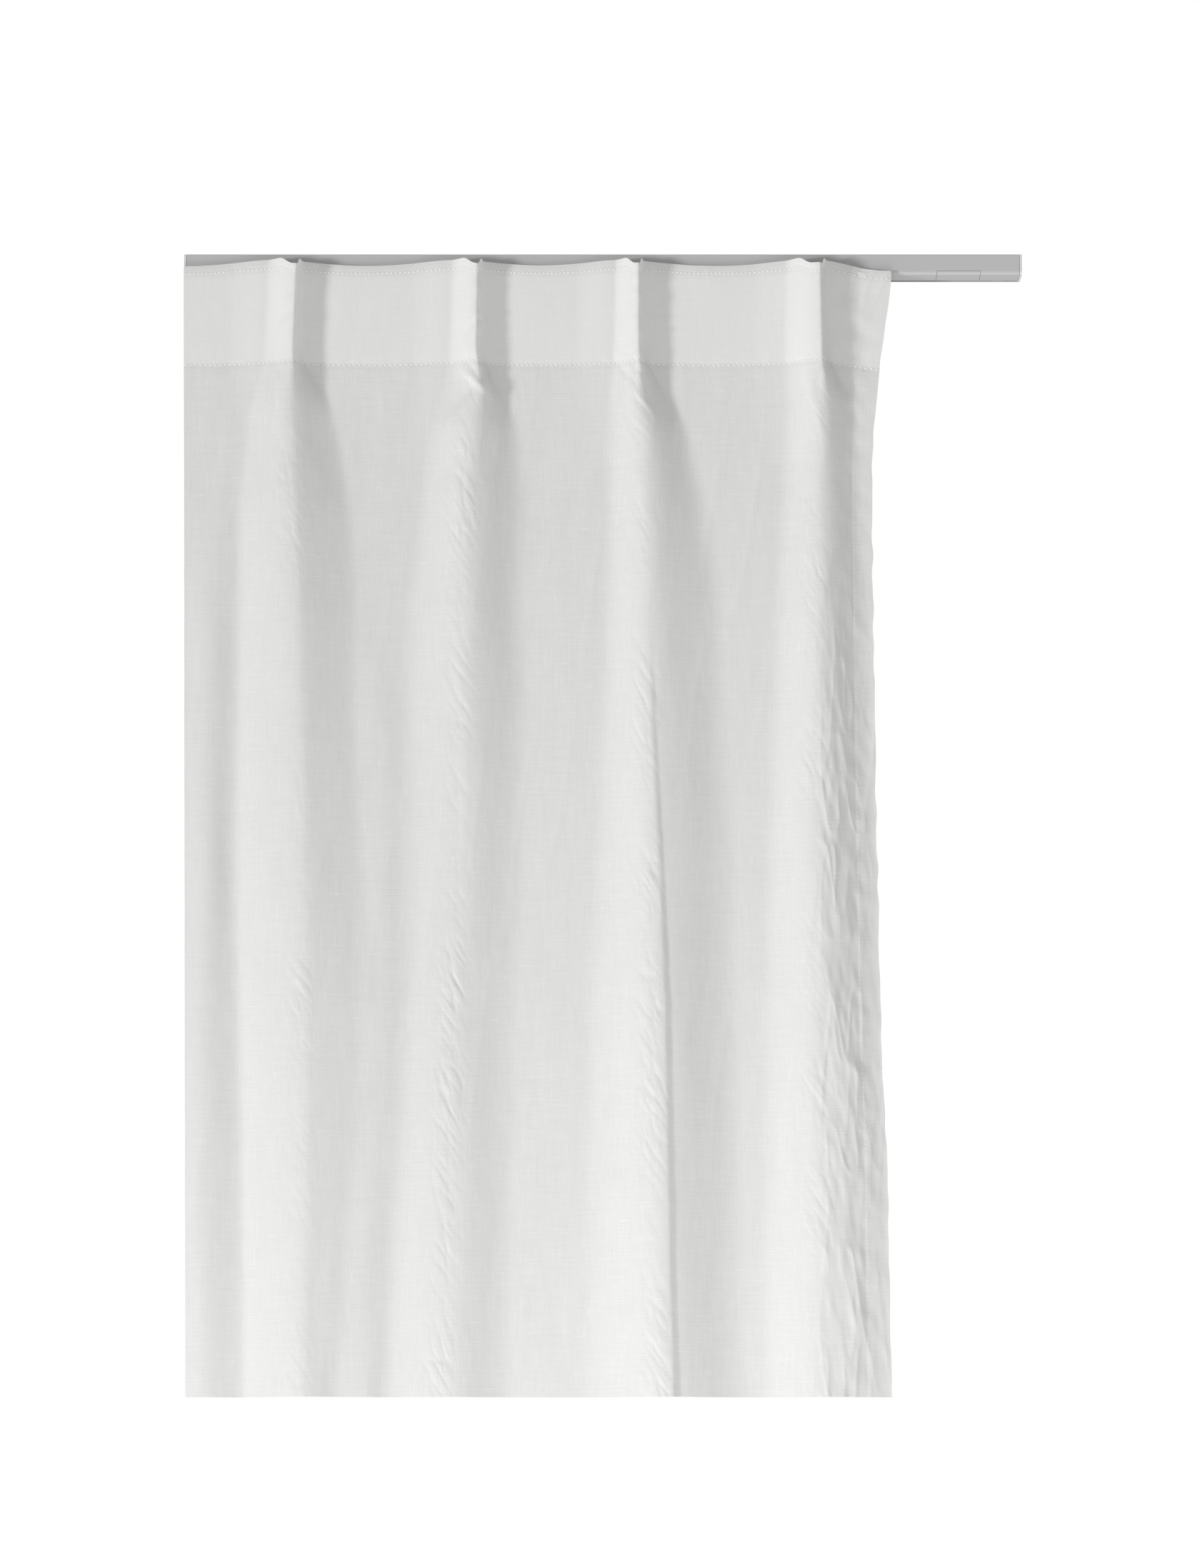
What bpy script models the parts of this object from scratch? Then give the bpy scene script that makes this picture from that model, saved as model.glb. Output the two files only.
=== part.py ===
"""A pleated linen curtain panel on its rail, as an assembly of separate pieces.

Metres, +Z up, +X along the rail to the right, -Y towards the room. The origin is the centre of the
rail's top face, which goes against the ceiling. The panel is drawn open towards the left.
"""

import math

import bmesh
import bpy

# ---------------------------------------------------------------- driving dimensions
GAP = 0.0003  # between pieces that touch

RAIL_LENGTH = 0.728  # over both end caps
RAIL_DEPTH = 0.031
RAIL_HEIGHT = 0.018
RAIL_WALL = 0.002
RAIL_LOWER_RADIUS = 0.003
RAIL_UPPER_RADIUS = 0.0008
SLOT_WIDTH = 0.0045
SLOT_Y = 0.009
CHANNEL_WIDTH = 0.009
CHANNEL_TOP = 0.004  # depth of the channel's roof below the top face
CHAMBER_WIDTH = 0.016
CAP_THICKNESS = 0.002
CAP_PLUG_LENGTH = 0.008
SCREW_HOLE_RADIUS = 0.00225
SCREW_HEAD_RADIUS = 0.0036  # of the hole below it that lets the screw's head in
SCREW_HOLE_X = 0.235

GATE_X = 0.309
GATE_LENGTH = 0.038
GATE_TONGUE_HEIGHT = 0.005

STOP_LENGTH = 0.008
STOP_X = 0.345  # of the right stop; the left one traps the first glider
GRUB_RADIUS = 0.002
GRUB_LENGTH = 0.009

RUNNER_LENGTH = 0.010
RUNNER_HEIGHT = 0.0035
NECK_LENGTH = 0.006
ARM_THICKNESS = 0.0025
ARM_DROP = 0.0008  # air between the rail's underside and the arm
EYE_Y = -0.010
EYE_HOLE_RADIUS = 0.0032
EYE_RADIUS = 0.0052
EYE_THICKNESS = 0.0024

WIRE = 0.0018
CROOK_RADIUS = 0.0028
PRONG_WIDTH = 0.0014
PRONG_THICKNESS = 0.0012
PRONG_LENGTH = 0.028
HOOK_BASE_DROP = 0.0155  # from the swing axis down to the middle of the hook's base
HOOK_BASE_HEIGHT = 0.0025
PLEAT_PRONGS = (-0.008, -0.003, 0.003, 0.008)
END_PRONGS = (0.0,)
END_HOOK_INSET = 0.010  # from the panel's edge to its end hook

CLOTH_TOP = -0.0095
PANEL_DROP = 0.9775  # from the cloth's top edge to its lower edge
CLOTH_THICKNESS = 0.0012
HEM_THICKNESS = 0.002
HEM_WIDTH = 0.022
CLOTH_Y = -0.0212  # middle of the cloth between the pleats, in the heading
PLEAT_HALF = 0.0183
FOLD_DEPTH = 0.0245
TAPE_WIDTH = 0.085
TAPE_THICKNESS = 0.0008
TAPE_INSET = 0.006  # the tape starts this far below the cloth's top edge
TAPE_END_INSET = 0.003  # and ends this far inside the side edges
SPAN_BOW_HEADING = 0.0015
SPAN_BOW_BOTTOM = 0.010

PLEATS_TOP = (-0.2784, -0.1209, 0.0229, 0.1829)  # the pleats' places in the heading
PLEATS_BOTTOM = (-0.2760, -0.1560, 0.0179, 0.1618)  # and at the lower edge
LEFT_EDGE_TOP = -0.3639
LEFT_EDGE_BOTTOM = -0.3521
# the free edge leans in below the heading and drifts out again: (share of the drop, x)
RIGHT_EDGE = (
    (0.0, 0.2511),
    (0.05, 0.2464),
    (0.09, 0.2389),
    (0.18, 0.2323),
    (0.47, 0.2338),
    (0.63, 0.2364),
    (0.81, 0.2407),
    (1.0, 0.2428),
)
CLOTH_LEVELS = (0.0, 0.05, 0.09, 0.18, 0.32, 0.47, 0.63, 0.81, 0.92, 1.0)

# ---------------------------------------------------------------- worked out
RAIL_FRONT = -RAIL_DEPTH / 2
RAIL_BACK = RAIL_DEPTH / 2
LIP_TOP = -RAIL_HEIGHT + RAIL_WALL
BODY_LENGTH = RAIL_LENGTH - 2 * (CAP_THICKNESS + GAP)
CHAMBER_FRONT = RAIL_FRONT + RAIL_WALL
ARM_TOP = -RAIL_HEIGHT - ARM_DROP
ARM_BOTTOM = ARM_TOP - ARM_THICKNESS
EYE_Z = ARM_BOTTOM - EYE_RADIUS + 0.0007
SWING_Z = EYE_Z - (EYE_RADIUS + EYE_HOLE_RADIUS) / 2
HOOK_BASE_Z = SWING_Z - HOOK_BASE_DROP
TAPE_Y = CLOTH_Y + CLOTH_THICKNESS / 2 + GAP + TAPE_THICKNESS / 2
PRONG_Y = TAPE_Y + TAPE_THICKNESS / 2 + GAP + PRONG_THICKNESS / 2
HEADING_SHARE = (TAPE_INSET + TAPE_WIDTH) / PANEL_DROP

# A pleat seen from above, from left to right: (share of its half width, share of its depth).
# In the heading the hook holds two folds side by side; lower down they open into one ridge.
TWO_FOLDS = (
    (-1.0, 0.08), (-0.72, 0.28), (-0.54, 0.6), (-0.46, 0.86), (-0.33, 1.0), (-0.175, 0.9),
    (-0.083, 0.6), (-0.071, 0.28), (0.071, 0.28), (0.083, 0.6), (0.175, 0.9), (0.33, 1.0),
    (0.46, 0.86), (0.54, 0.6), (0.72, 0.28), (1.0, 0.08),
)
ONE_RIDGE = (
    (-1.0, 0.08), (-0.82, 0.28), (-0.68, 0.5), (-0.54, 0.68), (-0.41, 0.82), (-0.27, 0.91),
    (-0.16, 0.95), (-0.055, 0.96), (0.055, 0.96), (0.16, 0.95), (0.27, 0.91), (0.41, 0.82),
    (0.54, 0.68), (0.68, 0.5), (0.82, 0.28), (1.0, 0.08),
)


# ---------------------------------------------------------------- materials
def finish(name, colour, roughness, metallic=0.0):
    material = bpy.data.materials.new(name)
    material.use_nodes = True
    shader = material.node_tree.nodes["Principled BSDF"]
    shader.inputs["Base Color"].default_value = (*colour, 1.0)
    shader.inputs["Roughness"].default_value = roughness
    shader.inputs["Metallic"].default_value = metallic
    return material


def make_finishes():
    return {
        "rail": finish("painted_aluminium", (0.52, 0.52, 0.52), 0.45),
        "plastic": finish("white_plastic", (0.80, 0.80, 0.78), 0.40),
        "steel": finish("plated_steel", (0.62, 0.62, 0.63), 0.30, 1.0),
        "linen": finish("off_white_linen", (0.78, 0.78, 0.75), 0.90),
        "tape": finish("woven_tape", (0.84, 0.84, 0.82), 0.85),
    }


# ---------------------------------------------------------------- mesh helpers
def add_object(name, mesh, material):
    thing = bpy.data.objects.new(name, mesh)
    bpy.context.scene.collection.objects.link(thing)
    if material:
        mesh.materials.append(material)
    return thing


def mesh_from(vertices, faces, name):
    """A mesh with its faces turned outwards."""
    mesh = bpy.data.meshes.new(name)
    mesh.from_pydata(vertices, [], faces)
    work = bmesh.new()
    work.from_mesh(mesh)
    bmesh.ops.recalc_face_normals(work, faces=work.faces)
    work.to_mesh(mesh)
    work.free()
    return mesh


def loft(rings, name):
    """A closed body through rings of points that correspond, with an n-gon at each end."""
    count = len(rings[0])
    vertices = [point for ring in rings for point in ring]
    faces = [tuple(range(count)), tuple(range(len(vertices) - count, len(vertices)))]
    for level in range(len(rings) - 1):
        base = level * count
        for k in range(count):
            after = (k + 1) % count
            faces.append((base + k, base + after, base + count + after, base + count + k))
    return mesh_from(vertices, faces, name)


def block(name, low, high, material=None):
    """A plain box between two corners."""
    (x0, y0, z0), (x1, y1, z1) = low, high
    rings = [[(x0, y0, z), (x1, y0, z), (x1, y1, z), (x0, y1, z)] for z in (z0, z1)]
    return add_object(name, loft(rings, name), material)


def round_bar(name, centre, axis, radius, length, sides=24, material=None):
    """A cylinder about centre, along x, y or z."""
    rings = []
    for end in (-length / 2, length / 2):
        ring = []
        for k in range(sides):
            turn = 2 * math.pi * k / sides
            across, up = radius * math.cos(turn), radius * math.sin(turn)
            offset = {"x": (end, across, up), "y": (across, end, up), "z": (across, up, end)}[axis]
            ring.append(tuple(c + o for c, o in zip(centre, offset)))
        rings.append(ring)
    return add_object(name, loft(rings, name), material)


def hide(tool):
    tool.hide_render = True
    tool.display_type = "WIRE"


def combine(thing, tool, operation):
    """A Boolean of thing with a hidden tool."""
    hide(tool)
    cut = thing.modifiers.new(operation.lower(), "BOOLEAN")
    cut.operation = operation
    cut.object = tool
    cut.solver = "EXACT"


def place_origin(thing, point):
    """Moves the origin of thing to a point, with its shape where it was."""
    for vertex in thing.data.vertices:
        vertex.co = [c - p for c, p in zip(vertex.co, point)]
    thing.location = point


def interpolate(table, share):
    for (s0, v0), (s1, v1) in zip(table, table[1:]):
        if share <= s1:
            return v0 + (v1 - v0) * (share - s0) / (s1 - s0)
    return table[-1][1]


def eased(share):
    return share * share * (3 - 2 * share)


# ---------------------------------------------------------------- the rail
def rail_outline():
    """The rail's outer section as (y, z), with small upper and larger lower corner radii."""
    corners = (
        (RAIL_BACK, 0.0, RAIL_UPPER_RADIUS, 0),
        (RAIL_FRONT, 0.0, RAIL_UPPER_RADIUS, 90),
        (RAIL_FRONT, -RAIL_HEIGHT, RAIL_LOWER_RADIUS, 180),
        (RAIL_BACK, -RAIL_HEIGHT, RAIL_LOWER_RADIUS, 270),
    )
    outline = []
    for y, z, radius, start in corners:
        centre_y = y - math.copysign(radius, y)
        centre_z = z - radius if z == 0.0 else z + radius
        steps = 5 if radius > RAIL_UPPER_RADIUS else 2
        for k in range(steps + 1):
            turn = math.radians(start + 90 * k / steps)
            outline.append((centre_y + radius * math.cos(turn), centre_z + radius * math.sin(turn)))
    return outline


def along_rail(name, outline, x0, x1, material=None):
    rings = [[(x, y, z) for y, z in outline] for x in (x0, x1)]
    return add_object(name, loft(rings, name), material)


def make_rail(finishes):
    half = BODY_LENGTH / 2
    over = 0.01
    rail = along_rail("rail", rail_outline(), -half, half, finishes["rail"])
    channel = block(
        "cut_channel",
        (-half - over, SLOT_Y - CHANNEL_WIDTH / 2, LIP_TOP),
        (half + over, SLOT_Y + CHANNEL_WIDTH / 2, -CHANNEL_TOP),
    )
    slot = block(
        "cut_slot",
        (-half - over, SLOT_Y - SLOT_WIDTH / 2, -RAIL_HEIGHT - over),
        (half + over, SLOT_Y + SLOT_WIDTH / 2, LIP_TOP + RAIL_WALL / 2),
    )
    chamber = block(
        "cut_chamber",
        (-half - over, CHAMBER_FRONT, LIP_TOP),
        (half + over, CHAMBER_FRONT + CHAMBER_WIDTH, -RAIL_WALL),
    )
    gate = along_rail(
        "cut_gate",
        gate_outline(SLOT_Y - SLOT_WIDTH / 4, GAP),
        GATE_X - GATE_LENGTH / 2,
        GATE_X + GATE_LENGTH / 2,
    )
    for tool in (channel, slot, chamber, gate):
        combine(rail, tool, "DIFFERENCE")
    for side in (-1, 1):
        place = (side * SCREW_HOLE_X, SLOT_Y, -CHANNEL_TOP / 2)
        hole = round_bar(f"cut_screw_hole_{side}", place, "z", SCREW_HOLE_RADIUS, 2 * CHANNEL_TOP, 16)
        combine(rail, hole, "DIFFERENCE")
        place = (side * SCREW_HOLE_X, SLOT_Y, -RAIL_HEIGHT + RAIL_WALL / 2)
        access = round_bar(f"cut_access_{side}", place, "z", SCREW_HEAD_RADIUS, 2 * RAIL_WALL, 20)
        combine(rail, access, "DIFFERENCE")


def gate_outline(back, gap):
    """The section of the gate's place: the front lip, and the front wall up to the rounded corner."""
    below = -RAIL_HEIGHT - RAIL_WALL
    front = RAIL_FRONT - RAIL_WALL
    wall = CHAMBER_FRONT + gap
    corner = -RAIL_HEIGHT + RAIL_LOWER_RADIUS + gap
    lip = LIP_TOP + gap
    return [(front, below), (back, below), (back, lip), (wall, lip), (wall, corner), (front, corner)]


def make_gate(finishes):
    """The snap-in piece of the front lip, through which the gliders are fed in."""
    x0 = GATE_X - GATE_LENGTH / 2 + GAP
    x1 = GATE_X + GATE_LENGTH / 2 - GAP
    gate = along_rail("loading_gate", rail_outline(), x0, x1, finishes["rail"])
    keep = along_rail("keep_gate", gate_outline(SLOT_Y - SLOT_WIDTH / 2, 0.0), x0 - GAP, x1 + GAP)
    combine(gate, keep, "INTERSECT")
    tongue = block(
        "gate_tongue",
        (x0 + RAIL_WALL, CHAMBER_FRONT + GAP, LIP_TOP - RAIL_WALL / 2),
        (x1 - RAIL_WALL, CHAMBER_FRONT + CHAMBER_WIDTH - GAP, LIP_TOP + GATE_TONGUE_HEIGHT),
    )
    combine(gate, tongue, "UNION")


def make_cap(name, side, finishes):
    outer = side * RAIL_LENGTH / 2
    inner = outer - side * CAP_THICKNESS
    x0, x1 = sorted((outer, inner))
    cap = along_rail(name, rail_outline(), x0, x1, finishes["plastic"])
    reach = inner - side * CAP_PLUG_LENGTH
    x0, x1 = sorted((inner + side * CAP_THICKNESS / 2, reach))
    plug = block(
        name + "_plug",
        (x0, CHAMBER_FRONT + GAP, LIP_TOP + GAP),
        (x1, CHAMBER_FRONT + CHAMBER_WIDTH - GAP, -RAIL_WALL - GAP),
    )
    combine(cap, plug, "UNION")


def make_stop(side_name, x, finishes):
    """A block clamped in the channel by a grub screw that bears on the channel's roof."""
    height = -CHANNEL_TOP - LIP_TOP - 2 * GAP - RAIL_WALL
    z0 = LIP_TOP + GAP
    half_width = CHANNEL_WIDTH / 2 - GAP
    stop = block(
        "end_stop_" + side_name,
        (x - STOP_LENGTH / 2, SLOT_Y - half_width, z0),
        (x + STOP_LENGTH / 2, SLOT_Y + half_width, z0 + height),
        finishes["plastic"],
    )
    place = (x, SLOT_Y, -CHANNEL_TOP - GAP - GRUB_LENGTH / 2)
    hole = round_bar("cut_grub_" + side_name, place, "z", GRUB_RADIUS + GAP, 0.03, 20)
    combine(stop, hole, "DIFFERENCE")
    grub = round_bar(
        "stop_screw_" + side_name, place, "z", GRUB_RADIUS, GRUB_LENGTH, 20, finishes["steel"]
    )
    socket = round_bar(
        "cut_socket_" + side_name,
        (x, SLOT_Y, place[2] - GRUB_LENGTH / 2),
        "z",
        GRUB_RADIUS / 2,
        GRUB_LENGTH / 2,
        6,
    )
    combine(grub, socket, "DIFFERENCE")


# ---------------------------------------------------------------- gliders and hooks
def make_glider(name, x, finishes):
    """A runner in the channel, a neck through the slot, and an arm with the eye in front of it."""
    material = finishes["plastic"]
    half_neck = SLOT_WIDTH / 2 - GAP
    half_width = CHANNEL_WIDTH / 2 - 2 * GAP
    z0 = LIP_TOP + GAP
    runner = block(
        name,
        (x - RUNNER_LENGTH / 2, SLOT_Y - half_width, z0),
        (x + RUNNER_LENGTH / 2, SLOT_Y + half_width, z0 + RUNNER_HEIGHT),
        material,
    )
    neck = block(
        name + "_neck",
        (x - NECK_LENGTH / 2, SLOT_Y - half_neck, ARM_BOTTOM + ARM_THICKNESS / 2),
        (x + NECK_LENGTH / 2, SLOT_Y + half_neck, z0 + RUNNER_HEIGHT / 2),
    )
    arm = block(
        name + "_arm",
        (x - NECK_LENGTH / 2 - GAP, EYE_Y - EYE_THICKNESS / 2, ARM_BOTTOM),
        (x + NECK_LENGTH / 2 + GAP, SLOT_Y + half_neck + GAP, ARM_TOP),
    )
    inset = 2 * GAP
    eye = round_bar(name + "_eye", (x, EYE_Y + inset / 2, EYE_Z), "y", EYE_RADIUS, EYE_THICKNESS - inset)
    hole = round_bar(name + "_hole", (x, EYE_Y, EYE_Z), "y", EYE_HOLE_RADIUS, 3 * EYE_THICKNESS)
    for tool in (neck, arm, eye):
        combine(runner, tool, "UNION")
    combine(runner, hole, "DIFFERENCE")
    place_origin(runner, (x, SLOT_Y, z0))
    for tool in (neck, arm, eye, hole):
        tool.location = (0, 0, 0)


def crook_path():
    """The hook's wire in its own plane, (y, z): up from the base, over the eye's bar and down."""
    front = EYE_Y - CROOK_RADIUS
    path = [(PRONG_Y, HOOK_BASE_Z), (front - WIRE, HOOK_BASE_Z)]
    path += [(front, HOOK_BASE_Z + WIRE), (front, SWING_Z)]
    steps = 8
    for k in range(1, steps):
        turn = math.pi * (1 - k / steps)
        path.append((EYE_Y + CROOK_RADIUS * math.cos(turn), SWING_Z + CROOK_RADIUS * math.sin(turn)))
    path += [(EYE_Y + CROOK_RADIUS, SWING_Z), (EYE_Y + CROOK_RADIUS, SWING_Z - 2 * WIRE)]
    return path


def wire_along(name, x, path, material=None):
    """A wire of eight-sided section along a path in the plane x."""
    sides = 8
    rings = []
    for k, (y, z) in enumerate(path):
        before, after = path[max(k - 1, 0)], path[min(k + 1, len(path) - 1)]
        along_y, along_z = after[0] - before[0], after[1] - before[1]
        length = math.hypot(along_y, along_z)
        normal = (-along_z / length, along_y / length)
        ring = []
        for s in range(sides):
            turn = 2 * math.pi * (s + 0.5) / sides
            across = WIRE / 2 * math.cos(turn)
            ring.append((x + WIRE / 2 * math.sin(turn), y + across * normal[0], z + across * normal[1]))
        rings.append(ring)
    return add_object(name, loft(rings, name), material)


def make_hook(name, x, prongs, holder, finishes):
    """A wire hook: prongs up into the tape's pockets, and a crook over the glider's eye."""
    hook = wire_along(name, x, crook_path(), finishes["steel"])
    tools = []
    reach = max(abs(p) for p in prongs) + PRONG_WIDTH / 2
    if len(prongs) > 1:
        base = block(
            name + "_base",
            (x - reach, PRONG_Y - PRONG_THICKNESS / 2, HOOK_BASE_Z - HOOK_BASE_HEIGHT / 2),
            (x + reach, PRONG_Y + PRONG_THICKNESS / 2, HOOK_BASE_Z + HOOK_BASE_HEIGHT / 2),
        )
        tools.append(base)
    inset = PRONG_THICKNESS / 10
    for k, offset in enumerate(prongs):
        prong = block(
            f"{name}_prong_{k}",
            (x + offset - PRONG_WIDTH / 2 + inset, PRONG_Y - PRONG_THICKNESS / 2 + inset, HOOK_BASE_Z),
            (
                x + offset + PRONG_WIDTH / 2 - inset,
                PRONG_Y + PRONG_THICKNESS / 2 - inset,
                HOOK_BASE_Z + PRONG_LENGTH,
            ),
        )
        tools.append(prong)
    for tool in tools:
        combine(hook, tool, "UNION")
    carry(hook, holder)


def carry(thing, holder):
    """Parents thing to an empty on its joint, and leaves it where it is."""
    thing.parent = holder
    thing.location = [-c for c in holder.location]


# ---------------------------------------------------------------- the cloth
def height(share):
    return CLOTH_TOP - PANEL_DROP * share


def below_heading(share):
    """0 in the heading, 1 at the lower edge."""
    return eased(max(0.0, (share - HEADING_SHARE) / (1 - HEADING_SHARE)))


def pleat_x(index, share):
    low = max(0.0, (share - HEADING_SHARE) / (1 - HEADING_SHARE))
    return PLEATS_TOP[index] + (PLEATS_BOTTOM[index] - PLEATS_TOP[index]) * low


def left_edge_x(share):
    return LEFT_EDGE_TOP + (LEFT_EDGE_BOTTOM - LEFT_EDGE_TOP) * share


def right_edge_x(share):
    return interpolate(RIGHT_EDGE, share)


def pleat_line(index, share):
    """The pleat's folded line at one level, as (x, forward)."""
    open_share = below_heading(share)
    line = []
    for (x0, d0), (x1, d1) in zip(TWO_FOLDS, ONE_RIDGE):
        across = x0 + (x1 - x0) * open_share
        forward = d0 + (d1 - d0) * open_share
        line.append((pleat_x(index, share) + across * PLEAT_HALF, forward * FOLD_DEPTH))
    return line


def bowed_line(x0, x1, bow, steps=8):
    """A stretch of cloth between two places that bows back towards the rail in the middle."""
    start = TWO_FOLDS[0][1] * FOLD_DEPTH
    line = []
    for k in range(steps + 1):
        share = k / steps
        forward = start - (start + bow) * math.sin(math.pi * share) ** 2
        line.append((x0 + (x1 - x0) * share, forward))
    return line


def span_line(index, share):
    bow = SPAN_BOW_HEADING + (SPAN_BOW_BOTTOM - SPAN_BOW_HEADING) * below_heading(share)
    x0 = pleat_x(index, share) + PLEAT_HALF + GAP
    x1 = pleat_x(index + 1, share) - PLEAT_HALF - GAP
    return bowed_line(x0, x1, bow)


def sheet_between(name, lines, middle_y, thickness, material):
    """A thin closed sheet that follows one line of (x, forward) at each level: (z, line)."""
    rings = []
    for z, line in lines:
        near, far = [], []
        for k, (x, forward) in enumerate(line):
            before, after = line[max(k - 1, 0)], line[min(k + 1, len(line) - 1)]
            run, rise = after[0] - before[0], after[1] - before[1]
            length = math.hypot(run, rise)
            offset_x, offset_y = -rise / length * thickness / 2, run / length * thickness / 2
            if k in (0, len(line) - 1):
                offset_x, offset_y = 0.0, thickness / 2
            near.append((x + offset_x, middle_y - forward - offset_y, z))
            far.append((x - offset_x, middle_y - forward + offset_y, z))
        rings.append(near + far[::-1])
    return add_object(name, loft(rings, name), material)


def make_pleat(index, holder, finishes):
    lines = [(height(share), pleat_line(index, share)) for share in CLOTH_LEVELS]
    name = f"cloth_pleat_{index + 1}"
    pleat = sheet_between(name, lines, CLOTH_Y, CLOTH_THICKNESS, finishes["linen"])
    carry(pleat, holder)


def make_cloth_sheet(name, line_at, holder, finishes, thickness=CLOTH_THICKNESS):
    lines = [(height(share), line_at(share)) for share in CLOTH_LEVELS]
    sheet = sheet_between(name, lines, CLOTH_Y, thickness, finishes["linen"])
    carry(sheet, holder)


def hem_line(x0, x1):
    """A turned hem, with its back level with the back of the single cloth."""
    forward = (HEM_THICKNESS - CLOTH_THICKNESS) / 2
    return [(x0, forward), ((x0 + x1) / 2, forward), (x1, forward)]


def left_hem_line(share):
    x0 = left_edge_x(share)
    return hem_line(x0, x0 + HEM_WIDTH)


def right_hem_line(share):
    x1 = right_edge_x(share)
    return hem_line(x1 - HEM_WIDTH, x1)


def left_end_line(share):
    x0 = left_edge_x(share) + HEM_WIDTH + GAP
    x1 = pleat_x(0, share) - PLEAT_HALF - GAP
    rise = TWO_FOLDS[0][1] * FOLD_DEPTH
    return [(x0 + (x1 - x0) * k / 4, rise * eased(k / 4)) for k in range(5)]


def right_end_line(share):
    x0 = pleat_x(len(PLEATS_TOP) - 1, share) + PLEAT_HALF + GAP
    x1 = right_edge_x(share) - HEM_WIDTH - GAP
    rise = TWO_FOLDS[0][1] * FOLD_DEPTH
    return [(x0 + (x1 - x0) * k / 4, rise * eased(1 - k / 4)) for k in range(5)]


def make_tape(name, x0, x1, bows, holder, finishes):
    """A stretch of heading tape behind the cloth, from x0 to x1."""
    top = CLOTH_TOP - TAPE_INSET
    shares = [TAPE_INSET / PANEL_DROP, HEADING_SHARE / 2, HEADING_SHARE]
    lines = []
    for share, z in zip(shares, (top, (top + height(HEADING_SHARE)) / 2, height(HEADING_SHARE))):
        line = [(x0 + GAP / 2, 0.0)]
        if bows:
            # the tape keeps clear of the bowed cloth in front of it
            first, last = x0 + PLEAT_HALF, x1 - PLEAT_HALF
            for k in range(9):
                along = k / 8
                forward = -(SPAN_BOW_HEADING + GAP) * math.sin(math.pi * along) ** 2
                line.append((first + (last - first) * along, forward))
        line.append((x1 - GAP / 2, 0.0))
        lines.append((z, line))
    tape = sheet_between(name, lines, TAPE_Y, TAPE_THICKNESS, finishes["tape"])
    carry(tape, holder)


# ---------------------------------------------------------------- assembly
def make_holder(name, x):
    """An empty on the axis that the curtain swings about, at one of its hooks."""
    holder = bpy.data.objects.new(name, None)
    bpy.context.scene.collection.objects.link(holder)
    holder.location = (x, EYE_Y, SWING_Z)
    return holder


def make_curtain(finishes):
    left_hook_x = LEFT_EDGE_TOP + END_HOOK_INSET
    right_hook_x = RIGHT_EDGE[0][1] - END_HOOK_INSET
    edge = make_holder("joint_fixed_edge", left_hook_x)
    pleats = [make_holder(f"joint_pleat_{k + 1}", x) for k, x in enumerate(PLEATS_TOP)]
    last = pleats[-1]

    make_hook("hook_end_left", left_hook_x, END_PRONGS, edge, finishes)
    make_cloth_sheet("side_hem_left", left_hem_line, edge, finishes, HEM_THICKNESS)
    make_cloth_sheet("cloth_end_left", left_end_line, edge, finishes)
    for k, x in enumerate(PLEATS_TOP):
        make_hook(f"hook_pleat_{k + 1}", x, PLEAT_PRONGS, pleats[k], finishes)
        make_pleat(k, pleats[k], finishes)
    for k in range(len(PLEATS_TOP) - 1):
        name = f"cloth_span_{k + 1}"
        make_cloth_sheet(name, lambda share, k=k: span_line(k, share), pleats[k], finishes)
    make_cloth_sheet("cloth_end_right", right_end_line, last, finishes)
    make_cloth_sheet("side_hem_right", right_hem_line, last, finishes, HEM_THICKNESS)
    make_hook("hook_end_right", right_hook_x, END_PRONGS, last, finishes)

    left_start = left_edge_x(HEADING_SHARE) + TAPE_END_INSET
    right_finish = right_edge_x(HEADING_SHARE) - TAPE_END_INSET
    make_tape("tape_end_left", left_start, PLEATS_TOP[0], False, edge, finishes)
    for k in range(len(PLEATS_TOP) - 1):
        name = f"tape_span_{k + 1}"
        make_tape(name, PLEATS_TOP[k], PLEATS_TOP[k + 1], True, pleats[k], finishes)
    make_tape("tape_end_right", PLEATS_TOP[-1], right_finish, False, last, finishes)

    for k, x in enumerate((left_hook_x, *PLEATS_TOP, right_hook_x)):
        make_glider(f"glider_{k + 1}", x, finishes)


def clear_scene():
    for thing in list(bpy.data.objects):
        bpy.data.objects.remove(thing)


def main():
    clear_scene()
    finishes = make_finishes()
    make_rail(finishes)
    make_gate(finishes)
    make_cap("end_cap_left", -1, finishes)
    make_cap("end_cap_right", 1, finishes)
    left_stop_x = LEFT_EDGE_TOP + END_HOOK_INSET + RUNNER_LENGTH / 2 + STOP_LENGTH / 2 + RAIL_WALL
    make_stop("left", left_stop_x, finishes)
    make_stop("right", STOP_X, finishes)
    make_curtain(finishes)


main()
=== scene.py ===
import math

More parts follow.
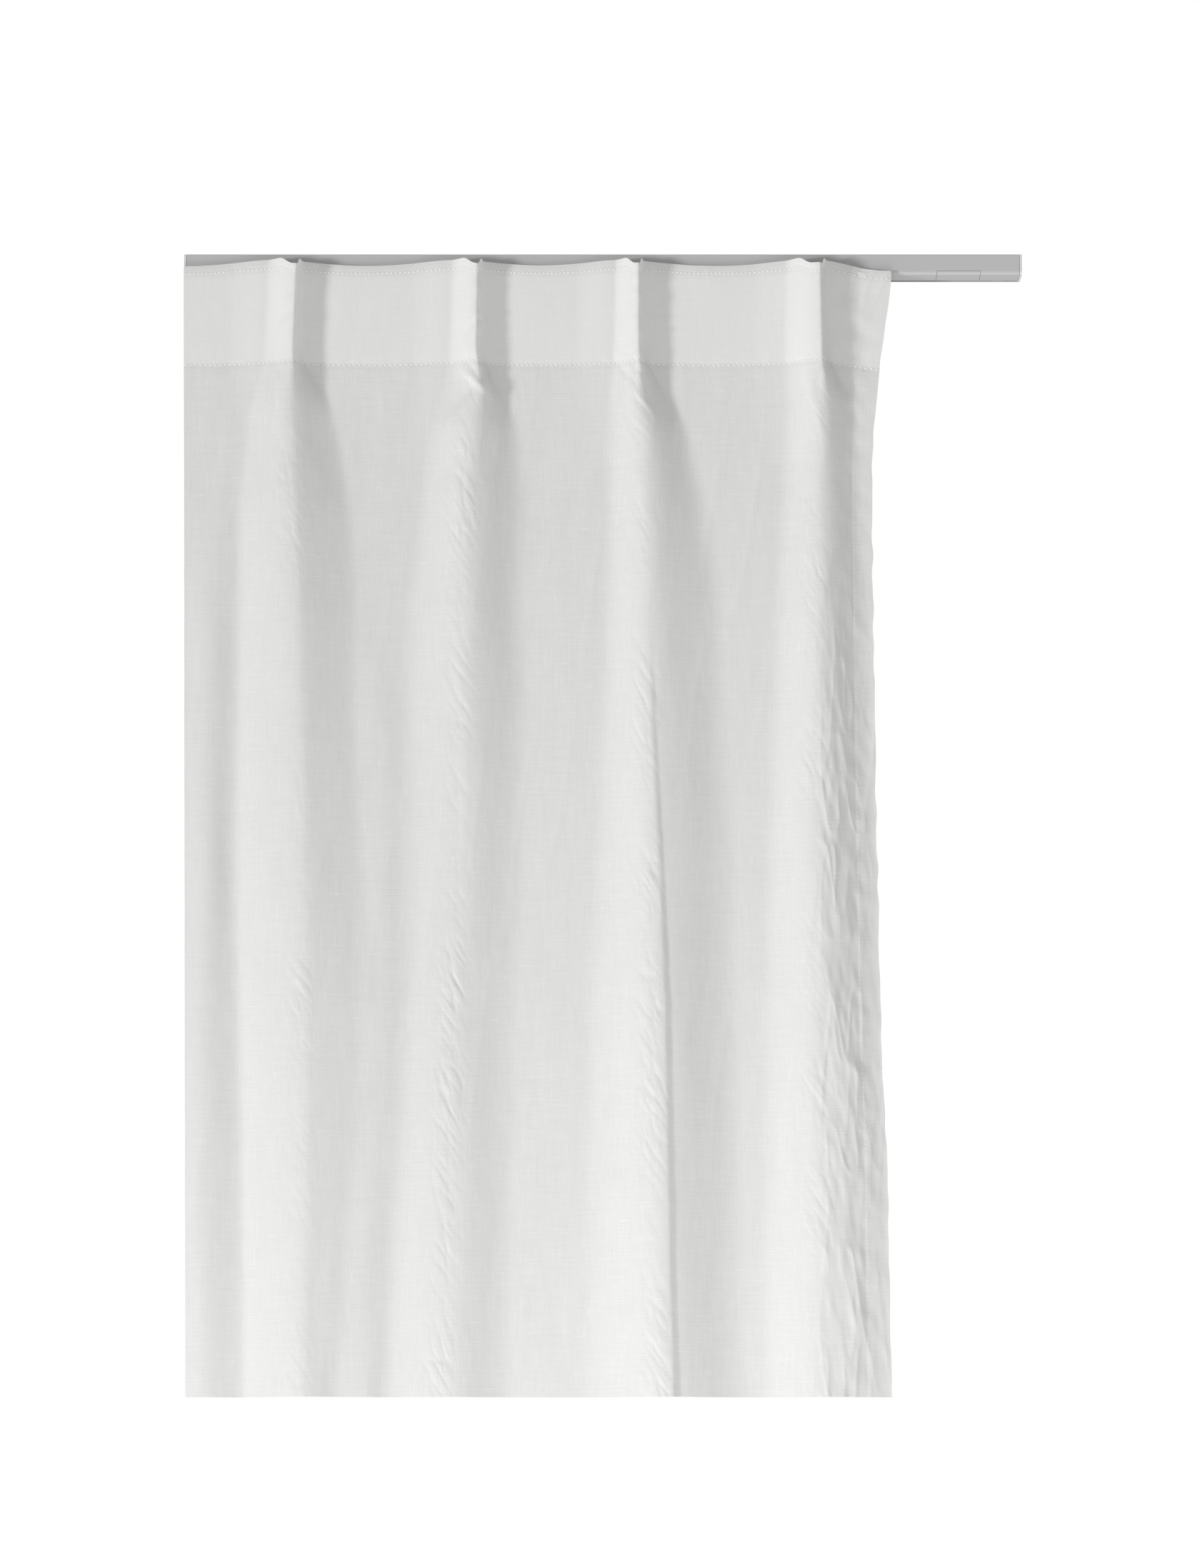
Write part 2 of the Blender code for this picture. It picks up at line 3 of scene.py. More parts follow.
import bpy
import numpy as np
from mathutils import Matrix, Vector


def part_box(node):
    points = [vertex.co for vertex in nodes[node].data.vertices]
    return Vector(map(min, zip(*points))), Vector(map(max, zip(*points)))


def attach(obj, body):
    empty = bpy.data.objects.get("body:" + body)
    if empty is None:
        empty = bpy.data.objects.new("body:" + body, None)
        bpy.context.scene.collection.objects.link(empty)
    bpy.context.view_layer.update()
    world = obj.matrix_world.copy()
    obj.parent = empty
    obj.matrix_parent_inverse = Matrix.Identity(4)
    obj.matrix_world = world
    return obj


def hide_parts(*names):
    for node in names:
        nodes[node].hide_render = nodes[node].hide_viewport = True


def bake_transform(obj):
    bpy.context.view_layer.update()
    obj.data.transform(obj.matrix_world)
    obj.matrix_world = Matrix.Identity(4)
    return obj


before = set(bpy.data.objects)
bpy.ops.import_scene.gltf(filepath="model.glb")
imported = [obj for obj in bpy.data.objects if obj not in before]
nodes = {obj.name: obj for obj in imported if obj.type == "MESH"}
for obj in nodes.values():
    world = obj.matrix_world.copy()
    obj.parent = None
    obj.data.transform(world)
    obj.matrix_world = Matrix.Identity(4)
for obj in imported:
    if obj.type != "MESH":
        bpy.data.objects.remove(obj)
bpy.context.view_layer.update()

# ---------------------------------------------------------------- sizes, in metres
MM = 0.001
STITCH_TOP = 0.0075  # the upper row of stitches, below the frame's top edge of the cloth
STITCH_LOW = 0.0895  # the lower row
UPPER_PITCH = 0.0035
LOWER_PITCH = 0.0041
HEM_PITCH = 0.0040
HEM_STITCH_INSET = 0.0015  # from the hem's inner edge
TAPE_TOP = 0.0060
TAPE_LOW = 0.0910
CLOTH_THICKNESS = 0.0006
TAPE_THICKNESS = 0.0007
CLOTH_TAPE_GAP = 0.0002
LAYER_GAP = 0.00015  # between the cloth and a hem turned behind it
# radius of each painted shade spot for a needle hole
HOLE_SHADE_RADIUS = 0.00034
HEM_WIDTH = 0.020
BOTTOM_HEM = 0.060

# ---------------------------------------------------------------- how finely the cloth is cut up
ROWS = 400
SEGMENT_COLUMNS = (54, 108, 104, 112, 54)  # one number for each part of the cloth
SAMPLES = 2400  # steps across the width while the folds are laid out


# ---------------------------------------------------------------- where the frame puts things
def middle(node):
    low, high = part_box(node)
    return (low + high) / 2


PLEAT_X = [middle(f"hook_pleat_{k}").x for k in (1, 2, 3, 4)]
LEFT_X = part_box("side_hem_left")[0].x
RIGHT_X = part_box("side_hem_right")[1].x
TOP_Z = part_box("cloth_span_2")[1].z
DROP = TOP_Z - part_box("cloth_span_2")[0].z
TAPE_Y = (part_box("tape_end_left")[0].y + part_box("tape_end_left")[1].y) / 2
CLOTH_Y = TAPE_Y - TAPE_THICKNESS / 2 - CLOTH_THICKNESS / 2 - CLOTH_TAPE_GAP


# ---------------------------------------------------------------- the folds
def shoulder(pleat, left, crest, right, tall, tall_low):
    """The low rise that a pleat stands on in the heading; it ends below the heading."""
    return (f"shoulder_{pleat + 1}", pleat, (
        (0.0, left, crest, right, tall), (0.09, left, crest, right, tall_low),
        (0.18, left, crest, right, 0), (1.0, left, crest, right, 0),
    ))


# Each fold runs down the drop. A knot holds the share of the drop, then the fold's left foot,
# crest and right foot from its own pleat's hook, and its height, all four in millimetres.
# Here each fold has its name, the pleat it belongs to and its knots.
FOLDS = (
    shoulder(0, -44, -12, 34, 3.5, 3.5),
    shoulder(1, -44, -12, 34, 3.5, 3.5),
    shoulder(2, -46, -16, 30, 3.5, 3.5),
    shoulder(3, -52, -8, 50, 5.5, 5),
    ("pleat_1", 0, (
        (0.00, -12, 14, 18, 17), (0.088, -14, 11, 16, 16), (0.125, -24, 10, 42, 17),
        (0.22, -34, 14, 60, 18), (0.31, -34, 19, 64, 15), (0.41, -34, 22, 66, 12),
        (0.53, -34, 25, 72, 9.5), (0.66, -31, 28, 90, 8), (0.78, -27, 29, 92, 9),
        (1.0, -23, 27, 72, 11),
    )),
    ("sweep", 0, (
        (0.00, -34, 12, 150, 0), (0.16, -34, 12, 150, 0), (0.31, -34, 19, 150, 7),
        (0.41, -34, 22, 150, 10), (0.53, -34, 25, 155, 14), (0.66, -31, 28, 165, 18),
        (0.78, -27, 29, 160, 18), (1.0, -23, 27, 140, 16),
    )),
    ("pleat_2", 1, (
        (0.00, -10, 13, 17, 16), (0.088, -12, 12, 16, 17), (0.118, -18, 17, 32, 15.5),
        (0.15, -30, 9, 50, 17), (0.22, -38, 5, 56, 19), (0.31, -50, 4, 54, 18),
        (0.41, -54, 4, 56, 15), (0.53, -56, 2, 54, 13), (0.66, -58, -2, 50, 12),
        (0.78, -62, -5, 48, 13), (1.0, -70, -10, 44, 15),
    )),
    ("pleat_3", 2, (
        (0.00, -12, 8.5, 12, 17.5), (0.088, -14, 8.5, 12.5, 18), (0.118, -19, 9, 32, 15.5),
        (0.15, -20, 14, 52, 16.5), (0.22, -20, 16, 68, 18), (0.31, -22, 16, 80, 18),
        (0.41, -26, 18, 86, 18), (0.53, -32, 22, 92, 19), (0.66, -38, 24, 94, 21),
        (0.90, -41, 26, 98, 22), (1.0, -43, 28, 102, 22),
    )),
    ("pleat_3_edge", 2, (
        (0.00, -2, 14, 18, 0), (0.32, -2, 16, 20, 0), (0.41, -10, 18, 23, 1.5),
        (0.53, -12, 24, 29, 2.2), (0.66, -15, 29, 34, 2.6), (0.90, -15, 33, 38, 2.6),
        (1.0, -12, 36, 41, 2.6),
    )),
    ("pleat_4", 3, (
        (0.00, -24, 5, 11, 15), (0.088, -26, 6, 11, 17), (0.125, -25, 7, 34, 15),
        (0.22, -31, 5, 40, 15), (0.31, -37, 4, 46, 17), (0.53, -45, 2, 54, 18),
        (0.66, -50, 2, 62, 18), (0.78, -50, 4, 72, 17), (1.0, -50, 2, 76, 17),
    )),
    ("left_fold", 0, (
        (0.00, -90, -60, -35, 0), (0.20, -90, -55, -32, 0.5), (0.31, -90, -62, -34, 4),
        (0.53, -95, -60, -38, 7), (0.66, -95, -64, -30, 7), (0.78, -90, -64, -26, 7.5),
        (0.90, -88, -62, -24, 8), (1.0, -86, -60, -22, 8),
    )),
    ("middle_fold", 0, (
        (0.00, 60, 90, 118, 0), (0.33, 58, 90, 118, 0), (0.41, 55, 88, 118, 2),
        (0.53, 60, 94, 126, 2.5), (0.66, 66, 92, 119, 3), (0.78, 66, 88, 114, 3),
        (0.90, 56, 79, 105, 4), (1.0, 50, 76, 103, 5),
    )),
)
SHARP = ("pleat_3_edge",)
ROUNDED = ("pleat_1", "sweep")  # rises at once from its valley and falls away slowly
# share of the drop, and how far each side edge hangs inside the frame's, in millimetres
LEFT_EDGE = ((0.0, 0), (1.0, 12))
RIGHT_EDGE = (
    (0.0, 0), (0.04, 5), (0.09, 12), (0.14, 17), (0.19, 19.5),
    (0.45, 18), (0.70, 14.5), (0.80, 10), (1.0, 8),
)
# share of the drop, and how far the cloth between the folds comes forward
BASE = ((0.0, 0.3), (0.09, 0.3), (0.2, -2.0), (0.5, -5.0), (1.0, -8.0))


def smooth_rows(values, reach):
    """values averaged along their line with a bell of that reach."""
    span = max(1, int(3 * reach))
    bell = np.exp(-0.5 * (np.arange(-span, span + 1) / reach) ** 2)
    bell /= bell.sum()
    padded = np.concatenate([np.full(span, values[0]), values, np.full(span, values[-1])])
    return np.convolve(padded, bell, "valid")


def track(knots, column, reach=6):
    """One column of a fold's knots at every row."""
    shares = [k[0] for k in knots]
    return smooth_rows(np.interp(row_share, shares, [k[column] for k in knots]), reach)


def eased(t):
    t = np.clip(t, 0, 1)
    return t * t * (3 - 2 * t)


def bell(x, reach):
    return np.exp(-0.5 * (x / reach) ** 2)


row_share = np.linspace(0, 1, ROWS + 1)
left_edge = LEFT_X + track(LEFT_EDGE, 1) * MM
right_edge = RIGHT_X - track(RIGHT_EDGE, 1, 5) * MM
across = np.linspace(0, 1, SAMPLES + 1)
x_plan = left_edge[:, None] + (right_edge - left_edge)[:, None] * across[None, :]
in_heading = 1 - eased((row_share - 0.085) / 0.06)

depth = np.repeat((track(BASE, 1) * MM)[:, None], SAMPLES + 1, 1)
sharp_depth = np.zeros_like(depth)
for name, pleat, knots in FOLDS:
    left, crest, right, tall = (track(knots, c, 3)[:, None] * MM for c in (1, 2, 3, 4))
    x = x_plan - PLEAT_X[pleat]
    straight = 0.45 * in_heading[:, None]
    up = np.clip((x - left) / (crest - left), 0, 1)
    down = np.clip((right - x) / (right - crest), 0, 1)
    rise = (1 - straight) * eased(up) + straight * up
    fall = eased(down)
    if name in ROUNDED:
        loose = 1 - in_heading[:, None]
        rise += 0.7 * loose * (1 - (1 - up) ** 2 - rise)
        fall += 0.75 * loose * (down - fall)
    bump = np.where(x < crest, rise, fall)
    (sharp_depth if name in SHARP else depth)[...] += tall * bump


def blur_across(values, reach):
    """values blurred along each row, by its own reach in metres."""
    step = (right_edge - left_edge).mean() / SAMPLES
    return np.array([smooth_rows(line, max(r / step, 0.5)) for line, r in zip(values, reach)])


depth = blur_across(depth, 0.0008 + 0.0024 * (1 - in_heading))
depth += blur_across(sharp_depth, np.full(ROWS + 1, 0.0008))


# ---------------------------------------------------------------- smooth noise
def lattice_noise(u, v, seed):
    """Smooth noise from -1 to 1 on a unit lattice."""
    draws = np.random.RandomState(seed).uniform(-1, 1, (256, 256))
    iu, iv = np.floor(u).astype(int), np.floor(v).astype(int)
    fu, fv = eased(u - iu), eased(v - iv)
    a = draws[iu % 256, iv % 256]
    b = draws[(iu + 1) % 256, iv % 256]
    c = draws[iu % 256, (iv + 1) % 256]
    d = draws[(iu + 1) % 256, (iv + 1) % 256]
    return (a * (1 - fu) + b * fu) * (1 - fv) + (c * (1 - fu) + d * fu) * fv


def ridged(u, v, seed):
    """Noise with narrow creases, from 0 to 1."""
    return (1 - np.abs(lattice_noise(u, v, seed))) ** 4


# ---------------------------------------------------------------- the cloth as one grid
def arc_lengths(x, y):
    steps = np.hypot(np.diff(x), np.diff(y))
    return np.concatenate([[0], np.cumsum(steps)])


PLEAT_NAMES = ("pleat_1", "pleat_2", "pleat_3", "pleat_4")
crests = []
seam_x = [left_edge]
for index, name in enumerate(PLEAT_NAMES):
    knots = next(f[2] for f in FOLDS if f[0] == name)
    crest_line = track(knots, 2, 3) * MM
    crests.append(PLEAT_X[index] + crest_line)
    seam_x.append(PLEAT_X[index] + 0.5 * np.minimum(crest_line, 12 * MM))
seam_x.append(right_edge)

column_count = sum(SEGMENT_COLUMNS) + 1
grid = np.zeros((ROWS + 1, column_count, 3))
lengths = np.zeros((ROWS + 1, 5))
for row in range(ROWS + 1):
    run = arc_lengths(x_plan[row], depth[row])
    marks = np.interp([s[row] for s in seam_x], x_plan[row], run)
    wanted = []
    for part, count in enumerate(SEGMENT_COLUMNS):
        wanted.append(np.linspace(marks[part], marks[part + 1], count + 1)[:-1])
        lengths[row, part] = marks[part + 1] - marks[part]
    wanted = np.concatenate([*wanted, marks[-1:]])
    grid[row, :, 0] = np.interp(wanted, run, x_plan[row])
    grid[row, :, 1] = np.interp(wanted, run, depth[row])
    grid[row, :, 2] = TOP_Z - DROP * row_share[row]

nominal = lengths.mean(0)  # each part's width when it's laid flat
u_line = [0.0]
for part, count in enumerate(SEGMENT_COLUMNS):
    u_line += list(u_line[-1] + nominal[part] * np.arange(1, count + 1) / count)
u_line = np.array(u_line)
v_line = row_share * DROP
FABRIC_WIDTH = u_line[-1]
U, V = np.meshgrid(u_line, v_line)
X = grid[:, :, 0].copy()
from_right = FABRIC_WIDTH - U

# the top edge hangs in shallow curves between the pleats and droops at the free corner
near_pleat = sum(bell(X - p + 5 * MM, 36 * MM) for p in PLEAT_X)
sag = 0.0054 * (1 - np.clip(near_pleat, 0, 1.05)) - 0.0026
ridge_height = grid[:, :, 1] / MM
grid[:, :, 2] -= sag * (0.5 * np.exp(-V / 0.012) + 0.5 * np.exp(-V / 0.13))
grid[:, :, 2] -= 0.0060 * eased((ridge_height - 10) / 8) * np.exp(-V / 0.035)
free_droop = eased((X - PLEAT_X[3] - 0.004) / 0.055)
grid[:, :, 2] -= 0.0043 * free_droop * (1 - eased((V - 0.02) / 0.35))
grid[:, :, 1] = CLOTH_Y - grid[:, :, 1]
# the top edge leans back towards the rail
grid[:, :, 1] += 0.0020 * np.exp(-((V / 0.005) ** 1.5)) * (1 - eased((ridge_height - 3) / 7))


def grid_normals(points):
    """Unit normals towards the room, -Y."""
    du = np.gradient(points, axis=1)
    dv = np.gradient(points, axis=0)
    n = np.cross(du, dv)
    n /= np.linalg.norm(n, axis=2, keepdims=True) + 1e-12
    return n if n[:, :, 1].mean() < 0 else -n


# ---------------------------------------------------------------- creases and puckers
in_tape = 1 - eased((V - 0.082) / 0.012)
below = 1 - in_tape
crest_u = [
    np.array([np.interp(crest[row], X[row], u_line) for row in range(ROWS + 1)])[:, None]
    for crest in crests
]

wrinkle = 0.00030 * lattice_noise(U / 0.024, V / 0.090, 3)
wrinkle += 0.00020 * lattice_noise(U / 0.011 + V / 0.06, V / 0.040, 4)
wrinkle += 0.00006 * lattice_noise(U / 0.004, V / 0.014, 5)
wrinkle *= 1 - 0.4 * in_tape
wrinkle += below * 0.00035 * ridged(U / 0.035 + V / 0.25, V / 0.16 + U / 0.3, 21)

# short slanting puckers along the crest of each pleat
for index, amount in enumerate((0.6, 1.0, 1.0, 0.7)):
    off = U - crest_u[index]
    patchy = 0.6 + 0.6 * lattice_noise(V / 0.045, V * 0 + index, 30 + index)
    fine = lattice_noise((V + 0.9 * off) / 0.0036, off / 0.007, 40 + index)
    wrinkle += in_tape * amount * 0.0007 * bell(off - 0.001, 0.005) * fine
    slant = V - 1.4 * off
    stroke = ridged(slant / 0.0125, off / 0.011, 50 + index)
    stroke = stroke + 0.6 * ridged(slant / 0.007, off / 0.008, 60 + index)
    wrinkle -= below * amount * patchy * 0.00075 * bell(off + 0.006, 0.0085) * (stroke - 0.5)

# the free edge is crushed: creases that run on for a while and fade
crushed = eased((0.064 - from_right) / 0.014) * (0.35 + 0.65 * eased((from_right - 0.014) / 0.010))
crumple = crushed * eased((V - 0.22) / 0.25)
wrinkle += crumple * 0.0008 * (ridged(U / 0.011 + V / 0.16, V / 0.060, 8) - 0.35)
wrinkle += crumple * 0.0008 * (ridged(U / 0.013 - V / 0.10, V / 0.048, 18) - 0.35)
wrinkle += crumple * 0.00045 * lattice_noise(U / 0.005 - V / 0.04, V / 0.020, 9)
heading_fold = eased((0.040 - from_right) / 0.010) * in_tape
wrinkle += heading_fold * 0.0006 * (ridged(U / 0.010 + V / 0.06, V / 0.05, 10) - 0.3)

# rows of stitches pull the cloth in
STITCH_GROOVE = 0.0011
for row_at in (STITCH_TOP, STITCH_LOW):
    wrinkle -= 0.00028 * bell(V - row_at, STITCH_GROOVE)
    wrinkle += 0.00010 * bell(V - row_at, 0.005) * lattice_noise(U / 0.0042, V / 0.006, 12)
wrinkle -= 0.00018 * bell(from_right - HEM_WIDTH, STITCH_GROOVE)
pucker = bell(from_right - HEM_WIDTH, 0.010)
wrinkle += 0.00060 * pucker * lattice_noise(V / 0.013 + from_right / 0.03, from_right / 0.02, 15)

# single creases: the pleat, then x from its hook, distance below the top edge, length, width, slant
# and height
CREASES = (
    (1, 0.011, 0.108, 0.007, 0.0030, 0.9, 0.0016),
    (1, 0.002, 0.118, 0.012, 0.0035, -0.9, -0.0014),
    (2, 0.000, 0.103, 0.010, 0.0025, 0.75, -0.0010),
    (2, 0.006, 0.114, 0.012, 0.0030, 0.55, 0.0010),
    (0, -0.006, 0.135, 0.022, 0.0030, -0.25, -0.0010),
    (3, 0.003, 0.106, 0.010, 0.0025, -0.4, -0.0013),
    (3, 0.000, 0.128, 0.018, 0.0030, 0.2, 0.0011),
    (0, 0.006, 0.046, 0.008, 0.0022, -0.8, -0.0008),
    (1, 0.009, 0.058, 0.008, 0.0022, -0.9, -0.0008),
)
for pleat, x_off, down, long, wide, slant, size in CREASES:
    along = V - down
    side = X - PLEAT_X[pleat] - x_off - along * slant
    wrinkle += size * bell(along, long) * bell(side, wide)

grid += grid_normals(grid) * wrinkle[:, :, None]
# the free edge isn't ruler-straight
grid[:, :, 0] += 0.0007 * eased((0.02 - from_right) / 0.02) * lattice_noise(V / 0.016, V * 0, 17)
fine_normals = grid_normals(grid)


def sample(values, u, v):
    """values of the grid at distances u across and v down."""
    cu = np.interp(u, u_line, np.arange(len(u_line)))
    rv = np.interp(v, v_line, np.arange(len(v_line)))
    c0 = np.minimum(cu.astype(int), len(u_line) - 2)
    r0 = np.minimum(rv.astype(int), len(v_line) - 2)
    fc, fr = (cu - c0)[:, None], (rv - r0)[:, None]
    top = values[r0, c0] * (1 - fc) + values[r0, c0 + 1] * fc
    low = values[r0 + 1, c0] * (1 - fc) + values[r0 + 1, c0 + 1] * fc
    return top * (1 - fr) + low * fr


# ---------------------------------------------------------------- meshes from the grid
def place_in_scene(name, data):
    thing = bpy.data.objects.new(name, data)
    bpy.context.scene.collection.objects.link(thing)
    return thing


def solid_sheet(name, points, normal, thickness, uv, shade=None):
    """A closed sheet of that thickness around a grid of points, without a step in the shading
    where it meets the next sheet."""
    rows, columns = points.shape[:2]
    front = points + normal * thickness / 2
    back = points - normal * thickness / 2
    vertices = np.concatenate([front.reshape(-1, 3), back.reshape(-1, 3)])
    count = rows * columns
    index = np.arange(count).reshape(rows, columns)
    a, b, c, d = index[:-1, :-1], index[:-1, 1:], index[1:, 1:], index[1:, :-1]
    front_faces = np.stack([a, d, c, b], -1).reshape(-1, 4)
    back_faces = np.stack([a, b, c, d], -1).reshape(-1, 4) + count
    walls = []
    borders = (index[0, :], False), (index[-1, :], True), (index[:, 0], True), (index[:, -1], False)
    for line, flip in borders:
        p, q = line[:-1], line[1:]
        wall = np.stack([p, q, q + count, p + count], -1)
        walls.append(wall[:, ::-1] if flip else wall)
    faces = np.concatenate([front_faces, back_faces, *walls])
    mesh = bpy.data.meshes.new(name)
    mesh.from_pydata(vertices.tolist(), [], faces.tolist())
    mesh.polygons.foreach_set("use_smooth", np.ones(len(faces), bool))
    layer = mesh.uv_layers.new(name="weave")
    both = np.concatenate([uv.reshape(-1, 2), uv.reshape(-1, 2)])
    layer.data.foreach_set("uv", both[faces.reshape(-1)].ravel())
    shade = normal if shade is None else shade
    loop_normals = np.concatenate([shade.reshape(-1, 3), -shade.reshape(-1, 3)])[faces.reshape(-1)]
    flat_from = len(front_faces) + len(back_faces)
    corner = vertices[faces[flat_from:]]
    flat = np.cross(corner[:, 1] - corner[:, 0], corner[:, 3] - corner[:, 0])
    flat /= np.linalg.norm(flat, axis=1, keepdims=True) + 1e-12
    loop_normals[flat_from * 4:] = np.repeat(flat, 4, 0)
    mesh.normals_split_custom_set(loop_normals.tolist())
    mesh.update()
    return place_in_scene(name, mesh)


# ---------------------------------------------------------------- finishes
def new_material(name, colour, roughness, metallic=0.0):
    material = bpy.data.materials.new(name)
    material.use_nodes = True
    tree = material.node_tree
    shader = tree.nodes["Principled BSDF"]
    shader.inputs["Base Color"].default_value = (*colour, 1)
    shader.inputs["Roughness"].default_value = roughness
    shader.inputs["Metallic"].default_value = metallic
    return material, tree, shader


def add_node(tree, kind, **settings):
    node = tree.nodes.new(kind)
    for key, value in settings.items():
        if key in node.inputs:
            node.inputs[key].default_value = value
        else:
            setattr(node, key, value)
    return node


def streaks(tree, source, scale, detail=2.0, stretch=(1, 1, 1)):
    mapping = add_node(tree, "ShaderNodeMapping")
    mapping.inputs["Scale"].default_value = stretch
    tree.links.new(source, mapping.inputs["Vector"])
    noise = add_node(tree, "ShaderNodeTexNoise", Scale=scale, Detail=detail, Roughness=0.55)
    tree.links.new(mapping.outputs["Vector"], noise.inputs["Vector"])
    return noise.outputs["Fac"]


def math_node(tree, operation, a, b=None, c=None, clamp=False):
    node = tree.nodes.new("ShaderNodeMath")
    node.operation = operation
    node.use_clamp = clamp
    for socket, value in zip(node.inputs, (a, b, c)):
        if value is None:
            continue
        if isinstance(value, (int, float)):
            socket.default_value = value
        else:
            tree.links.new(value, socket)
    return node.outputs[0]


SLUB_FROM, SLUB_GAIN = 0.70, 3.0
LINEN_DARK = (0.715, 0.713, 0.700, 1)
LINEN_PALE = (0.865, 0.863, 0.850, 1)


def gained(tree, value, middle_value, gain, clamp=False):
    """How far value is from middle_value, times gain."""
    off = math_node(tree, "SUBTRACT", value, middle_value, clamp=clamp)
    return math_node(tree, "MULTIPLY", off, gain)


def linen_material():
    material, tree, shader = new_material("linen", (0.78, 0.78, 0.76), 0.9)
    shader.inputs["Specular IOR Level"].default_value = 0.15
    shader.inputs["Sheen Weight"].default_value = 0.08
    shader.inputs["Sheen Roughness"].default_value = 0.6
    uv = add_node(tree, "ShaderNodeUVMap", uv_map="weave").outputs["UV"]
    warp = streaks(tree, uv, 1.0, 2.0, (1250, 45, 1))
    weft = streaks(tree, uv, 1.0, 2.0, (40, 1250, 1))
    slub_warp = streaks(tree, uv, 1.0, 1.0, (900, 60, 1))
    slub_weft = streaks(tree, uv, 1.0, 1.0, (55, 900, 1))
    cloud = streaks(tree, uv, 1.0, 3.0, (40, 22, 1))
    warp_bands = streaks(tree, uv, 1.0, 2.0, (430, 16, 1))
    weft_bands = streaks(tree, uv, 1.0, 2.0, (14, 430, 1))
    bands = math_node(tree, "ADD", warp_bands, weft_bands)
    weave = math_node(tree, "ADD", warp, weft)
    slubs = math_node(
        tree, "ADD",
        gained(tree, slub_warp, SLUB_FROM, SLUB_GAIN, clamp=True),
        gained(tree, slub_weft, SLUB_FROM, SLUB_GAIN, clamp=True),
    )
    tone = gained(tree, weave, 1.0, 0.55)
    tone = math_node(tree, "ADD", tone, gained(tree, bands, 1.0, 0.30))
    tone = math_node(tree, "ADD", tone, math_node(tree, "MULTIPLY", slubs, 2.0))
    tone = math_node(tree, "ADD", tone, gained(tree, cloud, 0.5, 0.12))
    split = add_node(tree, "ShaderNodeSeparateXYZ")
    tree.links.new(uv, split.inputs[0])
    u, v = split.outputs["X"], split.outputs["Y"]
    # the tape behind the heading makes it look denser and whiter, and the hem above it more so
    dense = math_node(tree, "LESS_THAN", v, STITCH_LOW)
    calmer = math_node(tree, "SUBTRACT", 1.0, math_node(tree, "MULTIPLY", dense, 0.45))
    tone = math_node(tree, "MULTIPLY", tone, calmer)
    tone = math_node(tree, "ADD", tone, math_node(tree, "MULTIPLY", dense, 0.42))
    above = math_node(tree, "LESS_THAN", v, STITCH_TOP)
    tone = math_node(tree, "ADD", tone, math_node(tree, "MULTIPLY", above, 0.06))
    # painted shade: the colour is darkened in small spots where the needle holes between the
    # stitches are, standing in for the shade inside the holes
    for row_at, pitch in ((STITCH_TOP, UPPER_PITCH), (STITCH_LOW, LOWER_PITCH)):
        along = math_node(tree, "PINGPONG", u, pitch / 2)
        away = math_node(tree, "SUBTRACT", v, row_at)
        along_squared = math_node(tree, "MULTIPLY", along, along)
        away_squared = math_node(tree, "MULTIPLY", away, away)
        square = math_node(tree, "ADD", along_squared, away_squared)
        hole_shade = math_node(tree, "LESS_THAN", square, HOLE_SHADE_RADIUS**2)
        # painted shade: darkens the colour inside each needle-hole spot
        tone = math_node(tree, "SUBTRACT", tone, math_node(tree, "MULTIPLY", hole_shade, 1.6))
    ramp = add_node(tree, "ShaderNodeMix")
    ramp.data_type = "RGBA"
    ramp.clamp_factor = False
    ramp.inputs["A"].default_value = LINEN_DARK
    ramp.inputs["B"].default_value = LINEN_PALE
    share = math_node(tree, "ADD", tone, 0.36)
    tree.links.new(share, ramp.inputs["Factor"])
    tree.links.new(ramp.outputs["Result"], shader.inputs["Base Color"])
    bump = add_node(tree, "ShaderNodeBump", Strength=0.35, Distance=0.0003)
    tree.links.new(math_node(tree, "ADD", weave, slubs), bump.inputs["Height"])
    tree.links.new(bump.outputs["Normal"], shader.inputs["Normal"])
    return material


def grainy(name, colour, roughness, scale, stretch=(1, 1, 1), metallic=0.0, change=0.06):
    """A plain finish whose colour, roughness and surface vary a little."""
    material, tree, shader = new_material(name, colour, roughness, metallic)
    place = add_node(tree, "ShaderNodeTexCoord").outputs["Object"]
    grain = streaks(tree, place, scale, 3.0, stretch)
    mix = add_node(tree, "ShaderNodeMix")
    mix.data_type = "RGBA"
    mix.inputs["A"].default_value = (*[c * (1 - change) for c in colour], 1)
    mix.inputs["B"].default_value = (*[min(1, c * (1 + change)) for c in colour], 1)
    tree.links.new(grain, mix.inputs["Factor"])
    tree.links.new(mix.outputs["Result"], shader.inputs["Base Color"])
    rough = add_node(tree, "ShaderNodeMapRange")
    rough.inputs["To Min"].default_value = roughness - 0.06
    rough.inputs["To Max"].default_value = roughness + 0.06
    tree.links.new(grain, rough.inputs["Value"])
    tree.links.new(rough.outputs["Result"], shader.inputs["Roughness"])
    bump = add_node(tree, "ShaderNodeBump", Strength=0.3, Distance=0.00005)
    tree.links.new(grain, bump.inputs["Height"])
    tree.links.new(bump.outputs["Normal"], shader.inputs["Normal"])
    return material


linen = linen_material()
paint = grainy("rail_paint", (0.56, 0.56, 0.56), 0.45, 300, (0.05, 1, 1), change=0.03)
plastic = grainy("white_plastic", (0.78, 0.78, 0.76), 0.42, 900)
steel = grainy("plated_steel", (0.62, 0.62, 0.63), 0.30, 600, metallic=1.0)
tape_cloth = grainy("heading_tape", (0.84, 0.84, 0.82), 0.85, 900, change=0.05)
thread = grainy("sewing_thread", (0.93, 0.93, 0.92), 0.7, 2500, change=0.08)


def assign(thing, material):
    thing.data.materials.clear()
    thing.data.materials.append(material)


for name, thing in nodes.items():
    if name in ("rail", "loading_gate"):
        assign(thing, paint)
    elif name.startswith(("end_cap", "end_stop", "glider")):
        assign(thing, plastic)
    elif name.startswith(("stop_screw", "hook")):
        assign(thing, steel)

